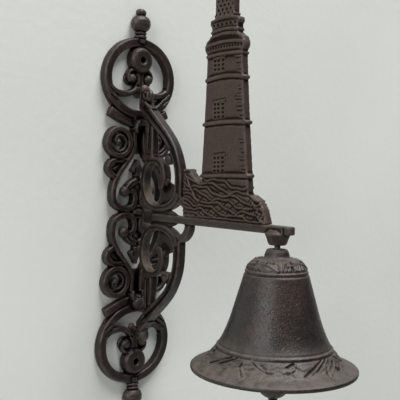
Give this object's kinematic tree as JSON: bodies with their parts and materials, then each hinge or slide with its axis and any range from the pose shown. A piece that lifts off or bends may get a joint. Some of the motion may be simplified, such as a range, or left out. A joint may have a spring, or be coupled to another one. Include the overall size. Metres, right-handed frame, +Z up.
{
  "type": "wall bell",
  "caption": "Cast iron bell hung under a scrolled wall bracket with a lighthouse figure, with a ball clapper on a link and an openwork plate that screws to the wall.",
  "frame": {"origin": "middle of the wall plate's back face, on the wall", "axes": "+Y into the wall, +Z up, +X to the right as seen from in front of the wall"},
  "size_m": [0.1324, 0.2502, 0.4083],
  "materials": {
    "bracket_iron": "sand-cast, brown-black patina, worn light on the edges",
    "bell_iron": "smoother casting, dull sheen, brown-grey patina",
    "forged_iron": "dark oxidised",
    "screw_steel": "dull, lightly rusted",
    "washer_leather": "dark oiled"
  },
  "bodies": {
    "wall_frame": {"wall_plate": "bracket_iron", "bracket": "bracket_iron", "lighthouse": "bracket_iron", "bracket_screw_top": "screw_steel", "bracket_screw_bottom": "screw_steel", "lighthouse_screw_inner": "screw_steel", "lighthouse_screw_outer": "screw_steel", "bell_rod": "forged_iron", "bell_nut": "screw_steel"},
    "steel_washer": {"bell_washer_steel": "screw_steel"},
    "leather_washer": {"bell_washer_leather": "washer_leather"},
    "bell": {"bell": "bell_iron"},
    "clapper_link": {"clapper_link": "forged_iron"},
    "clapper": {"clapper": "forged_iron"}
  },
  "joints": [
    {"name": "bell_spin", "type": "hinge", "parent": "wall_frame", "child": "steel_washer", "pos_m": [0, -0.184, -0.0246], "axis": [0, 0, 1], "continuous": true},
    {"name": "bell_rock_sideways", "type": "hinge", "parent": "steel_washer", "child": "leather_washer", "pos_m": [0, -0.184, -0.0246], "axis": [0, 1, 0], "range_deg": [-2, 2]},
    {"name": "bell_rock_outwards", "type": "hinge", "parent": "leather_washer", "child": "bell", "pos_m": [0, -0.184, -0.0246], "axis": [1, 0, 0], "range_deg": [-2, 2]},
    {"name": "link_swing", "type": "hinge", "parent": "wall_frame", "child": "clapper_link", "pos_m": [0, -0.184, -0.0487], "axis": [1, 0, 0], "range_deg": [-25, 25]},
    {"name": "clapper_sway", "type": "hinge", "parent": "clapper_link", "child": "clapper", "pos_m": [0, -0.184, -0.059], "axis": [0, 1, 0], "range_deg": [-6, 6]}
  ]
}
